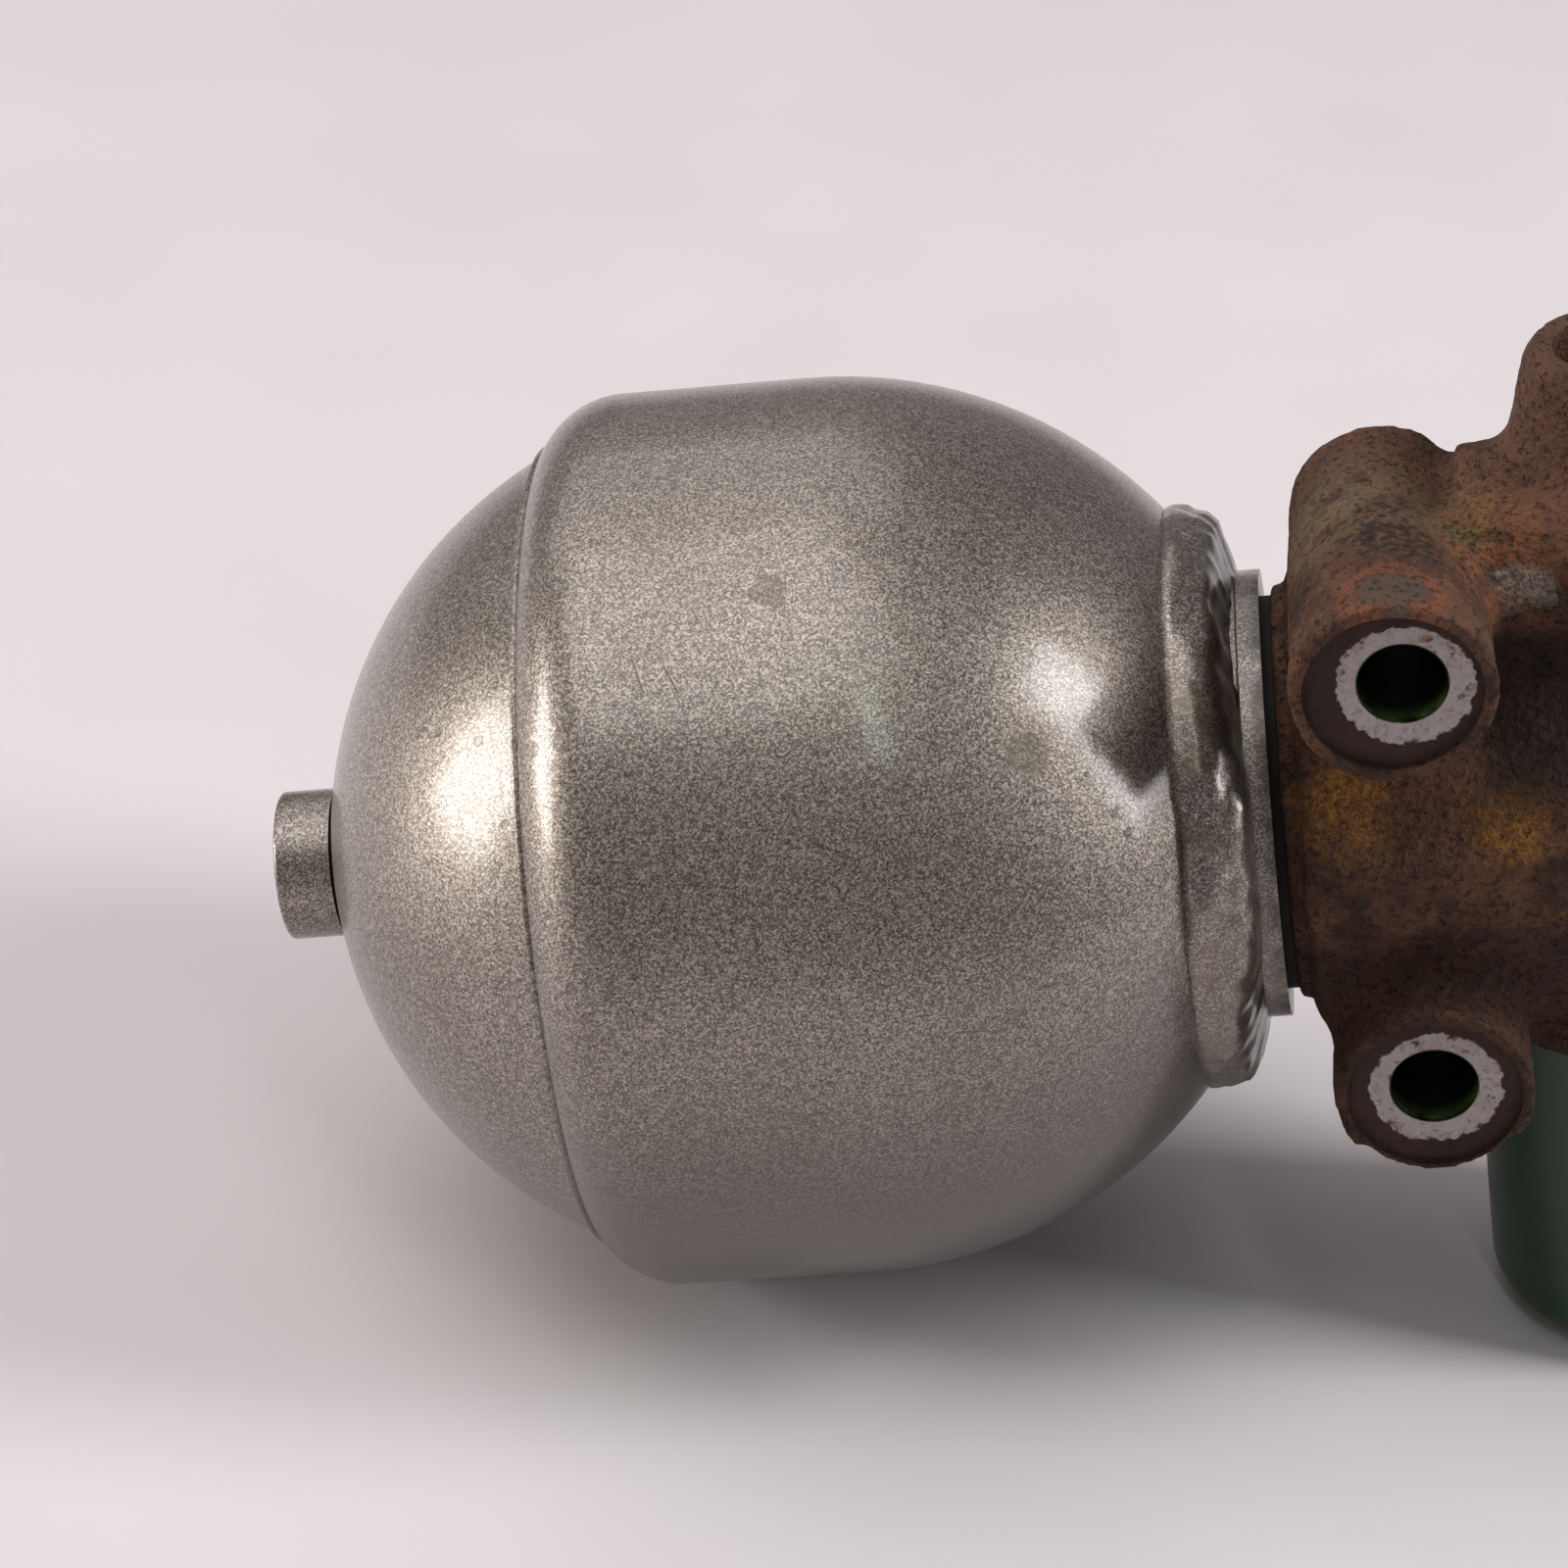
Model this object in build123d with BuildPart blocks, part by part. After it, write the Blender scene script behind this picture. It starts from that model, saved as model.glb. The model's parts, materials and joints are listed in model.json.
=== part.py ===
from build123d import *
from math import asin, cos, degrees, radians, sin, sqrt, tan
import os

# Hydropneumatic suspension accumulator screwed into its iron valve block, in millimetres.
# Origin: middle of the two bolt holes, on the plane of the block's mounting faces.
# +X runs along the accumulator from the gas end to the block, +Y leaves the mounting faces,
# +Z runs along the line of the two bolts.

# Accumulator axis, seen from the bolt line
axis_y = -8.0
axis_z = -8.0

# Valve block casting
block_face_x = -14.0
block_length = 66.0
barrel_r = 30.0
face_round = 1.2
end_round = 7.0
cast_fillet = 3.0
boss_fillet = 2.0
bolt_spacing = 60.0
bolt_hole_d = 11.0
boss_length = 45.0
boss_front_r = 12.6
boss_draft = 1.4
boss_drop = 0.9
upper_boss_left = 1.2
spotface_d = 22.0
spotface_depth = 1.2
bolt_seat_r = 9.6
nose_r = 26.6
nose_length = 2.2
pad_width = 11.0
pad_rise = 2.0
pad_top = 9.0
pad_end_gap = 5.0
pad_round = 2.0
gallery_r = 13.4
gallery_y = -13.4
gallery_z = 29.1
gallery_left_x = 8.0
gallery_end_gap = 3.0
turret_x = 28.0
turret_r = 12.5
turret_top = 54.0
turret_round = 2.5
canister_boss_r = 24.0
canister_boss_height = 24.0

# Oil ways and the shut-off valve in the block
port_r = 7.0
port_depth = 14.0
outlet_r = 5.0
outlet_depth = 12.0
oilway_r = 6.0
feed_r = 4.0
chamber_r = 12.0
chamber_top = 10.0
seat_r = 9.5
seat_height = 4.0
seat_cone = 2.0
press_gap = 0.05
slide_gap = 0.05
valve_gap = 0.3
valve_stroke = 8.0
piston_length = 23.0
piston_stem_r = 5.5
piston_pocket_r = 9.6
piston_pocket_depth = 12.0
ring_height = 2.2
ring_depth = 1.6
ring_offset = 3.0

# Spring and the green can under the block
canister_r = 22.0
canister_wall = 2.6
canister_height = 50.0
canister_round = 5.0
spring_r = 7.9
spring_wire_r = 1.2
spring_turns = 9
spring_seat_r = 15.0
spring_seat_thick = 2.0
spring_guide_r = 5.8
spring_guide_height = 6.0
spring_guide_chamfer = 1.0

# Fluid shell, the outer steel cup
shell_r = 58.0
shell_wall = 3.6
band_length = 24.3
lip_r = 11.0
lip_wrap = 63.0
neck_hole_r = 26.0

# Gas shell, the dome closed in by the lip
gas_dome_inset = 1.4
gas_wall = 4.6
seam_gap = 0.5
seam_step = 0.9
lip_gap = 0.05

# Membrane and its clamp
clamp_width = 8.0
clamp_thick = 2.2
clamp_round = 0.8
bead_width = 4.6
membrane_thick = 2.4
membrane_gap = 0.3
button_r = 15.0
button_thick = 2.2
button_stem_r = 3.0
rivet_head_r = 7.0
rivet_head_thick = 1.6

# Neck, its weld and the damping valve
ledge_r = 28.8
ledge_thick = 4.0
neck_r = 17.5
neck_length = 7.4
thread_gap = 0.05
neck_chamfer = 0.8
socket_gap = 1.0
seal_thick = 1.2
seal_outer_r = 25.3
seal_inner_r = 20.0
weld_toe_r = 36.9
weld_crest_r = 34.8
weld_crest_back = 0.8
weld_swell_r = 36.6
weld_swell_back = 3.6
weld_flank_r = 31.8
weld_flank_front = 0.9
weld_cover = 1.2
neck_bore_r = 10.2
valve_bore_r = 12.2
valve_bore_depth = 10.0
damper_thick = 5.0
damper_hole_r = 1.1
damper_holes = 6
inner_circle_r = 5.6
outer_circle_r = 8.6
reed_thick = 0.5
reed_lap = 0.5
damper_rivet_r = 2.4
damper_head_r = 3.9
damper_head_thick = 1.5
circlip_thick = 1.1
circlip_width = 2.0
circlip_arc = 312.0
circlip_bite = 0.7

# Gas charging boss
stub_r = 9.7
stub_stand = 7.0
stub_round = 0.6
stub_spigot_r = 7.0
stub_thread_r = 5.0
stub_thread_depth = 9.0
gas_hole_r = 2.0
plug_recess = 1.0
plug_length = 7.0
plug_socket = 5.0
plug_socket_depth = 3.5
filler_seal_thick = 0.9

# Places that follow from the sizes above
nose_x = block_face_x - nose_length
ledge_right_x = nose_x - seal_thick
ledge_left_x = ledge_right_x - ledge_thick
neck_end_x = ledge_right_x + neck_length
dome_x = ledge_left_x - press_gap - sqrt(shell_r**2 - neck_hole_r**2)
band_left_x = dome_x - band_length
block_end_x = block_face_x + block_length
block_bottom = axis_z - barrel_r
bolt_z = bolt_spacing / 2

# The accumulator's pieces are turned about one line, from half sections drawn as (x, radius).
section_plane = Plane(origin=(0, axis_y, axis_z), x_dir=(1, 0, 0), z_dir=(0, -1, 0))
accumulator_axis = Axis((0, axis_y, axis_z), (1, 0, 0))

# The shut-off valve's pieces are turned about the turret's line, as (radius, height).
valve_plane = Plane(origin=(turret_x, axis_y, 0), x_dir=(1, 0, 0), z_dir=(0, -1, 0))
valve_axis = Axis((turret_x, axis_y, 0), (0, 0, 1))

os.makedirs("parts", exist_ok=True)


def across(x):
    """The plane square to the accumulator's axis at x, facing +X."""
    return Plane(origin=(x, axis_y, axis_z), x_dir=(0, 1, 0), z_dir=(1, 0, 0))


def along_gallery(x):
    """The plane square to the gallery at x, facing +X."""
    return Plane(origin=(x, gallery_y, gallery_z), x_dir=(0, 1, 0), z_dir=(1, 0, 0))


def level(z):
    """The level plane at height z, centred on the turret."""
    return Plane(origin=(turret_x, axis_y, z), x_dir=(1, 0, 0), z_dir=(0, 0, 1))


def on_dome(centre_x, dome_r, at_r):
    """The (x, radius) point of a dome's arc on its +X side."""
    return (centre_x + sqrt(dome_r**2 - at_r**2), at_r)


def on_gas_dome(dome_r, at_r):
    """The (x, radius) point of the gas dome's arc, which closes towards -X."""
    return (gas_x - sqrt(dome_r**2 - at_r**2), at_r)


def on_lip(arc_r, angle):
    """The (x, radius) point of the lip's bend, angle degrees round from its start on the band."""
    return (
        band_left_x - arc_r * sin(radians(angle)),
        shell_r - lip_r + arc_r * cos(radians(angle)),
    )


# Fluid shell: one drawn cup. A dome with the neck's hole, a straight band, and a rim that is
# rolled inwards over the gas shell's shoulder.
lip_inner_r = lip_r - shell_wall
shell_inner_r = shell_r - shell_wall
neck_angle = degrees(asin(neck_hole_r / shell_r))
neck_inner_angle = degrees(asin(neck_hole_r / shell_inner_r))
lip_centre = (band_left_x, shell_r - lip_r)

with BuildPart() as fluid_shell:
    with BuildSketch(section_plane):
        with BuildLine():
            CenterArc((dome_x, 0), shell_r, neck_angle, 90 - neck_angle)
            Line((dome_x, shell_r), (band_left_x, shell_r))
            CenterArc(lip_centre, lip_r, 90, lip_wrap)
            Line(on_lip(lip_r, lip_wrap), on_lip(lip_inner_r, lip_wrap))
            CenterArc(lip_centre, lip_inner_r, 90, lip_wrap)
            Line((band_left_x, shell_inner_r), (dome_x, shell_inner_r))
            CenterArc((dome_x, 0), shell_inner_r, neck_inner_angle, 90 - neck_inner_angle)
            Line(
                on_dome(dome_x, shell_inner_r, neck_hole_r),
                on_dome(dome_x, shell_r, neck_hole_r),
            )
        make_face()
    revolve(axis=accumulator_axis)

# Gas shell: a second drawn cup. Its shoulder is let in to take the lip, so that the lip stands
# only a little above the dome, and its skirt runs inside the band up to the membrane's bead.
gas_dome_r = shell_r - gas_dome_inset
seam_r = on_lip(lip_r, lip_wrap)[1] - seam_step
seam_x = on_lip(lip_r, lip_wrap)[0] - seam_gap
gas_x = seam_x + sqrt(gas_dome_r**2 - seam_r**2)
recess_r = lip_inner_r - lip_gap
recess_wrap = lip_wrap + degrees(seam_gap / lip_inner_r)
skirt_outer_r = shell_inner_r - lip_gap
skirt_inner_r = skirt_outer_r - gas_wall
gas_inner_r = gas_dome_r - gas_wall
clamp_right_x = dome_x - lip_gap
clamp_left_x = clamp_right_x - clamp_width
skirt_end_x = clamp_left_x - bead_width
seam_angle = degrees(asin(seam_r / gas_dome_r))
filler_angle = degrees(asin(stub_spigot_r / gas_dome_r))
skirt_angle = degrees(asin(skirt_inner_r / gas_inner_r))
filler_inner_angle = degrees(asin(stub_spigot_r / gas_inner_r))

with BuildPart() as gas_shell:
    with BuildSketch(section_plane):
        with BuildLine():
            CenterArc((gas_x, 0), gas_dome_r, 180 - seam_angle, seam_angle - filler_angle)
            Line((seam_x, seam_r), on_lip(recess_r, recess_wrap))
            CenterArc(lip_centre, recess_r, 90, recess_wrap)
            Line((band_left_x, skirt_outer_r), (skirt_end_x, skirt_outer_r))
            Line((skirt_end_x, skirt_outer_r), (skirt_end_x, skirt_inner_r))
            Line((skirt_end_x, skirt_inner_r), on_gas_dome(gas_inner_r, skirt_inner_r))
            CenterArc(
                (gas_x, 0), gas_inner_r, 180 - skirt_angle, skirt_angle - filler_inner_angle
            )
            Line(
                on_gas_dome(gas_inner_r, stub_spigot_r),
                on_gas_dome(gas_dome_r, stub_spigot_r),
            )
        make_face()
    revolve(axis=accumulator_axis)

# Gas charging boss: a turned stub, its spigot set in the dome's hole, drilled and tapped for
# the plug.
stub_end_x = gas_x - gas_dome_r - stub_stand
stub_seat_x = on_gas_dome(gas_dome_r, stub_spigot_r)[0] - press_gap
stub_inner_x = on_gas_dome(gas_inner_r, stub_spigot_r)[0]
thread_floor_x = stub_end_x + stub_thread_depth

with BuildPart() as filler_boss:
    with BuildSketch(section_plane):
        Polygon(
            (stub_end_x, stub_thread_r),
            (stub_end_x, stub_r),
            (stub_seat_x, stub_r),
            (stub_seat_x, stub_spigot_r - press_gap),
            (stub_inner_x, stub_spigot_r - press_gap),
            (stub_inner_x, gas_hole_r),
            (thread_floor_x, gas_hole_r),
            (thread_floor_x, stub_thread_r),
            align=None,
        )
    revolve(axis=accumulator_axis)
    rim = filler_boss.edges().filter_by(GeomType.CIRCLE).group_by(Axis.X)[0]
    fillet(rim.sort_by(SortBy.RADIUS)[-1], stub_round)

# Plug: a headless screw with a hexagon socket, over a soft washer.
plug_left_x = stub_end_x + plug_recess

with BuildPart() as filler_plug:
    with BuildSketch(across(plug_left_x)):
        Circle(stub_thread_r - thread_gap)
    extrude(amount=plug_length)
    chamfer(filler_plug.edges().filter_by(GeomType.CIRCLE).group_by(Axis.X)[-1], neck_chamfer)
    with BuildSketch(across(plug_left_x)):
        RegularPolygon(plug_socket / 2, 6, major_radius=False)
    extrude(amount=plug_socket_depth, mode=Mode.SUBTRACT)

with BuildPart() as filler_seal:
    with BuildSketch(across(thread_floor_x - filler_seal_thick)):
        Circle(stub_thread_r - thread_gap)
        Circle(gas_hole_r, mode=Mode.SUBTRACT)
    extrude(amount=filler_seal_thick)

# Clamp hoop: presses the membrane's bead against the end of the gas shell's skirt.
clamp_inner_r = skirt_outer_r - clamp_thick

with BuildPart() as diaphragm_ring:
    with BuildSketch(across(clamp_left_x)):
        Circle(skirt_outer_r)
        Circle(clamp_inner_r, mode=Mode.SUBTRACT)
    extrude(amount=clamp_width)
    fillet(diaphragm_ring.edges().filter_by(GeomType.CIRCLE).sort_by(SortBy.RADIUS)[:2], clamp_round)

# Membrane: a rubber bag with a square bead. With no oil in it the gas holds it against the
# fluid dome, with its flat crown and button over the neck's bore.
adapter_inner_x = on_dome(dome_x, shell_inner_r, neck_hole_r)[0]
button_face_x = adapter_inner_x - membrane_gap
crown_x = button_face_x - button_thick - press_gap
bag_r = shell_inner_r - membrane_gap
bag_inner_r = bag_r - membrane_thick
mouth_r = clamp_inner_r - membrane_gap
mouth_inner_r = mouth_r - membrane_thick
crown_r = sqrt(bag_r**2 - (crown_x - dome_x) ** 2)
crown_inner_x = crown_x - membrane_thick
crown_inner_r = sqrt(bag_inner_r**2 - (crown_inner_x - dome_x) ** 2)
mouth_angle = degrees(asin(mouth_r / bag_r))
mouth_inner_angle = degrees(asin(mouth_inner_r / bag_inner_r))
crown_angle = degrees(asin(crown_r / bag_r))
crown_inner_angle = degrees(asin(crown_inner_r / bag_inner_r))
membrane_hole_r = button_stem_r + membrane_gap

with BuildPart() as diaphragm:
    with BuildSketch(section_plane):
        with BuildLine():
            Polyline(
                on_dome(dome_x, bag_inner_r, mouth_inner_r),
                (skirt_end_x, mouth_inner_r),
                (skirt_end_x, skirt_outer_r),
                (clamp_left_x, skirt_outer_r),
                (clamp_left_x, mouth_r),
                on_dome(dome_x, bag_r, mouth_r),
            )
            CenterArc((dome_x, 0), bag_r, crown_angle, mouth_angle - crown_angle)
            Polyline(
                (crown_x, crown_r),
                (crown_x, membrane_hole_r),
                (crown_inner_x, membrane_hole_r),
                (crown_inner_x, crown_inner_r),
            )
            CenterArc(
                (dome_x, 0),
                bag_inner_r,
                crown_inner_angle,
                mouth_inner_angle - crown_inner_angle,
            )
        make_face()
    revolve(axis=accumulator_axis)

# Button: a steel disc on the fluid side, riveted through the membrane's crown.
rivet_x = crown_inner_x - press_gap

with BuildPart() as diaphragm_button:
    with BuildSketch(section_plane):
        Polygon(
            (rivet_x - rivet_head_thick, 0),
            (rivet_x - rivet_head_thick, rivet_head_r - rivet_head_thick / 2),
            (rivet_x - rivet_head_thick / 2, rivet_head_r),
            (rivet_x, rivet_head_r),
            (rivet_x, button_stem_r),
            (button_face_x - button_thick, button_stem_r),
            (button_face_x - button_thick, button_r),
            (button_face_x - button_thick / 2, button_r),
            (button_face_x, button_r - button_thick / 2),
            (button_face_x, 0),
            align=None,
        )
    revolve(axis=accumulator_axis)

# Neck adapter: turned from bar. It fills the hole in the fluid dome, carries the ledge outside
# it, and ends in the threaded neck with the damping valve's seat bored in it.
neck_outer_r = neck_r - thread_gap
valve_seat_x = neck_end_x - valve_bore_depth
damper_right_x = valve_seat_x + damper_thick
groove_r = valve_bore_r + circlip_bite

with BuildPart() as neck_adapter:
    with BuildSketch(section_plane):
        Polygon(
            (adapter_inner_x, neck_bore_r),
            (adapter_inner_x, neck_hole_r - press_gap),
            (ledge_left_x, neck_hole_r - press_gap),
            (ledge_left_x, ledge_r),
            (ledge_right_x, ledge_r),
            (ledge_right_x, neck_outer_r),
            (neck_end_x - neck_chamfer, neck_outer_r),
            (neck_end_x, neck_outer_r - neck_chamfer),
            (neck_end_x, valve_bore_r),
            (damper_right_x + circlip_thick, valve_bore_r),
            (damper_right_x + circlip_thick, groove_r),
            (damper_right_x, groove_r),
            (damper_right_x, valve_bore_r),
            (valve_seat_x, valve_bore_r),
            (valve_seat_x, neck_bore_r),
            align=None,
        )
    revolve(axis=accumulator_axis)

# Weld collar: a heavy bead laid round the neck, from a toe on the dome to the ledge's side.
weld_toe = on_dome(dome_x, shell_r, weld_toe_r)
weld_root = on_dome(dome_x, shell_r, neck_hole_r)
weld_top = (ledge_left_x + weld_cover, ledge_r)
weld_crest = (ledge_left_x - weld_crest_back, weld_crest_r)
weld_swell = (ledge_left_x - weld_swell_back, weld_swell_r)
weld_flank = (ledge_left_x + weld_flank_front, weld_flank_r)

with BuildPart() as neck_weld:
    with BuildSketch(section_plane):
        with BuildLine():
            CenterArc(
                (dome_x, 0),
                shell_r,
                neck_angle,
                degrees(asin(weld_toe_r / shell_r)) - neck_angle,
            )
            ThreePointArc(weld_toe, weld_swell, weld_crest)
            ThreePointArc(weld_crest, weld_flank, weld_top)
            Polyline(weld_top, (ledge_left_x, ledge_r), (ledge_left_x, neck_hole_r), weld_root)
        make_face()
    revolve(axis=accumulator_axis)

# Damping valve: a drilled disc on the adapter's shoulder, with a thin reed on each side, all
# held by one rivet, and a circlip in the neck's groove. Oil going in lifts the reed on the
# gas side from the inner ring of holes, and oil coming back lifts the other from the outer.
with BuildPart() as damper_body:
    with BuildSketch(across(valve_seat_x)):
        Circle(valve_bore_r - press_gap)
        Circle(damper_rivet_r + press_gap, mode=Mode.SUBTRACT)
        with PolarLocations(inner_circle_r, damper_holes):
            Circle(damper_hole_r, mode=Mode.SUBTRACT)
        with PolarLocations(outer_circle_r, damper_holes, start_angle=180 / damper_holes):
            Circle(damper_hole_r, mode=Mode.SUBTRACT)
    extrude(amount=damper_thick)

with BuildPart() as rebound_reed:
    with BuildSketch(across(valve_seat_x - reed_thick)):
        Circle(inner_circle_r + damper_hole_r + reed_lap)
        Circle(damper_rivet_r + press_gap, mode=Mode.SUBTRACT)
    extrude(amount=reed_thick)

with BuildPart() as compression_reed:
    with BuildSketch(across(damper_right_x)):
        Circle(outer_circle_r + damper_hole_r + reed_lap)
        Circle(damper_rivet_r + press_gap, mode=Mode.SUBTRACT)
        with PolarLocations(inner_circle_r, damper_holes):
            Circle(damper_hole_r, mode=Mode.SUBTRACT)
    extrude(amount=reed_thick)

with BuildPart() as damper_rivet:
    with BuildSketch(across(valve_seat_x - reed_thick)):
        Circle(damper_rivet_r)
    extrude(amount=damper_thick + 2 * reed_thick)
    with BuildSketch(across(valve_seat_x - reed_thick)):
        Circle(damper_head_r)
    extrude(amount=-damper_head_thick)
    with BuildSketch(across(damper_right_x + reed_thick)):
        Circle(damper_head_r)
    extrude(amount=damper_head_thick)
    heads = damper_rivet.edges().filter_by(GeomType.CIRCLE).group_by(Axis.X)
    fillet(heads[0] + heads[-1], damper_head_thick / 2)

circlip_outer_r = groove_r - press_gap

with BuildPart() as damper_circlip:
    with BuildSketch(section_plane):
        Polygon(
            (damper_right_x, circlip_outer_r - circlip_width),
            (damper_right_x, circlip_outer_r),
            (damper_right_x + circlip_thick, circlip_outer_r),
            (damper_right_x + circlip_thick, circlip_outer_r - circlip_width),
            align=None,
        )
    revolve(axis=accumulator_axis, revolution_arc=circlip_arc)

# Neck seal: a rubber ring squeezed between the ledge and the block's nose.
with BuildPart() as neck_seal:
    with BuildSketch(across(ledge_right_x)):
        Circle(seal_outer_r)
        Circle(seal_inner_r, mode=Mode.SUBTRACT)
    extrude(amount=seal_thick)

# Valve block: one iron casting. A barrel of long round section runs along the accumulator's
# axis, two drafted bosses cross it for the bolts, a turret stands on it for the inlet, and a
# round boss under it takes the can.
socket_floor_x = neck_end_x + socket_gap
chamber_ceiling = axis_z + chamber_top
spigot_bottom = block_bottom - valve_stroke
spigot_r = canister_r - canister_wall - press_gap
pad_front = axis_y - barrel_r - pad_rise
pad_length = block_length - pad_end_gap
gallery_end_x = block_end_x - gallery_end_gap
mounting_plane = Plane(origin=(0, 0, 0), x_dir=(1, 0, 0), z_dir=(0, -1, 0))
bolt_front = mounting_plane.offset(boss_length)
boss_back_r = boss_front_r - boss_length * tan(radians(boss_draft))
boss_places = [(-upper_boss_left, bolt_z - boss_drop), (0, -bolt_z - boss_drop)]
bolt_places = [(0, bolt_z), (0, -bolt_z)]

with BuildPart() as valve_block:
    with BuildSketch(across(block_face_x)):
        Circle(barrel_r)
    extrude(amount=block_length)
    ends = valve_block.edges().filter_by(GeomType.CIRCLE).sort_by(Axis.X)
    fillet(ends[0], face_round)
    fillet(valve_block.edges().filter_by(GeomType.CIRCLE).sort_by(Axis.X)[-1], end_round)
    # Gallery along the top, behind the upper bolt boss
    with BuildSketch(along_gallery(gallery_left_x)):
        Circle(gallery_r)
    extrude(amount=gallery_end_x - gallery_left_x)
    fillet(valve_block.edges(Select.NEW), cast_fillet)
    # Turret for the inlet, blended into the gallery and the barrel
    with BuildSketch(level(gallery_z - gallery_r)):
        Circle(turret_r)
    extrude(amount=turret_top - gallery_z + gallery_r)
    fillet(valve_block.edges(Select.NEW), cast_fillet)
    fillet(valve_block.faces().sort_by(Axis.Z)[-1].edges(), turret_round)
    # Bolt bosses, widening a little from the mounting faces to the front
    with BuildSketch(mounting_plane):
        with Locations(boss_places[0]):
            Circle(boss_back_r)
    extrude(amount=boss_length, taper=-boss_draft)
    with BuildSketch(mounting_plane):
        with Locations(boss_places[1]):
            Circle(boss_back_r)
    extrude(amount=boss_length, taper=-boss_draft)
    fillet(valve_block.edges(Select.NEW).sort_by(Axis.X)[:2], boss_fillet)
    # Round boss over the can
    with BuildSketch(level(block_bottom)):
        Circle(canister_boss_r)
    extrude(amount=canister_boss_height)
    # Flat underside
    with BuildSketch(Plane.XY.offset(block_bottom)):
        with Locations((block_face_x + block_length / 2, axis_y)):
            Rectangle(2 * block_length, 2 * block_length)
    extrude(amount=-2 * boss_front_r, mode=Mode.SUBTRACT)
    # Raised bare pad along the front
    with BuildSketch(Plane(origin=(0, pad_front, 0), x_dir=(1, 0, 0), z_dir=(0, -1, 0))):
        with Locations((block_face_x + pad_length / 2, axis_z + pad_top - pad_width / 2)):
            RectangleRounded(pad_length, pad_width, pad_round)
    extrude(amount=-barrel_r)
    # Nose that the accumulator's seal is squeezed against
    with BuildSketch(across(nose_x)):
        Circle(nose_r)
    extrude(amount=nose_length)
    # Spigot that the can is fitted on, with its seal's groove
    with BuildSketch(level(spigot_bottom)):
        Circle(spigot_r)
    extrude(amount=valve_stroke)
    with BuildSketch(level(spigot_bottom + ring_offset)):
        Circle(spigot_r)
        Circle(spigot_r - ring_depth, mode=Mode.SUBTRACT)
    extrude(amount=ring_height, mode=Mode.SUBTRACT)
    # Spotfaces, concentric with the bosses as cast, and the bolt holes
    with BuildSketch(bolt_front):
        with Locations(boss_places):
            Circle(spotface_d / 2)
    extrude(amount=-spotface_depth, mode=Mode.SUBTRACT)
    with BuildSketch(mounting_plane):
        with Locations(bolt_places):
            Circle(bolt_hole_d / 2)
    extrude(amount=boss_length, mode=Mode.SUBTRACT)
    # Seat for the lower bolt's mounting face, let into the barrel's back
    with BuildSketch(mounting_plane):
        with Locations((0, -bolt_z)):
            Circle(bolt_seat_r)
    extrude(amount=-barrel_r, mode=Mode.SUBTRACT)
    # Socket for the neck, then the oil way to the shut-off valve
    with BuildSketch(across(nose_x)):
        Circle(neck_r)
    extrude(amount=socket_floor_x - nose_x, mode=Mode.SUBTRACT)
    with BuildSketch(across(socket_floor_x)):
        Circle(oilway_r)
    extrude(amount=turret_x - socket_floor_x, mode=Mode.SUBTRACT)
    # Valve chamber, seat bore, feed and the threaded inlet above it
    with BuildSketch(level(spigot_bottom)):
        Circle(chamber_r)
    extrude(amount=chamber_ceiling - spigot_bottom, mode=Mode.SUBTRACT)
    with BuildSketch(level(chamber_ceiling)):
        Circle(seat_r)
    extrude(amount=seat_height, mode=Mode.SUBTRACT)
    with BuildSketch(level(chamber_ceiling)):
        Circle(feed_r)
    extrude(amount=turret_top - chamber_ceiling, mode=Mode.SUBTRACT)
    with BuildSketch(level(turret_top)):
        Circle(port_r)
    extrude(amount=-port_depth, mode=Mode.SUBTRACT)
    # Outlet along the gallery, drilled and tapped from its end
    with BuildSketch(along_gallery(gallery_end_x)):
        Circle(feed_r)
    extrude(amount=turret_x - gallery_end_x, mode=Mode.SUBTRACT)
    with BuildSketch(along_gallery(gallery_end_x)):
        Circle(outlet_r)
    extrude(amount=-outlet_depth, mode=Mode.SUBTRACT)

# Seat ring: pressed up into the chamber's ceiling, with a cone for the piston.
seat_bottom = chamber_ceiling

with BuildPart() as seat_ring:
    with BuildSketch(valve_plane):
        Polygon(
            (feed_r + seat_cone, seat_bottom),
            (seat_r - press_gap, seat_bottom),
            (seat_r - press_gap, seat_bottom + seat_height),
            (feed_r, seat_bottom + seat_height),
            (feed_r, seat_bottom + seat_cone),
            align=None,
        )
    revolve(axis=valve_axis)

# Shut-off piston: a skirt in the chamber, hollow below for the spring, and a stem whose cone
# closes the seat. Pressure pushes it down off the seat, and the spring brings it back.
piston_bottom = block_bottom
piston_shoulder = piston_bottom + piston_length
cone_gap = valve_gap * sqrt(2)
stem_top = seat_bottom + feed_r + seat_cone - cone_gap - piston_stem_r
cone_top = seat_bottom + seat_cone
cone_top_r = piston_stem_r - (cone_top - stem_top)
skirt_r = chamber_r - slide_gap

with BuildPart() as shutoff_piston:
    with BuildSketch(valve_plane):
        Polygon(
            (0, piston_bottom + piston_pocket_depth),
            (piston_pocket_r, piston_bottom + piston_pocket_depth),
            (piston_pocket_r, piston_bottom),
            (skirt_r, piston_bottom),
            (skirt_r, piston_bottom + ring_offset),
            (skirt_r - ring_depth, piston_bottom + ring_offset),
            (skirt_r - ring_depth, piston_bottom + ring_offset + ring_height),
            (skirt_r, piston_bottom + ring_offset + ring_height),
            (skirt_r, piston_shoulder),
            (piston_stem_r, piston_shoulder),
            (piston_stem_r, stem_top),
            (cone_top_r, cone_top),
            (0, cone_top),
            align=None,
        )
    revolve(axis=valve_axis)

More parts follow.
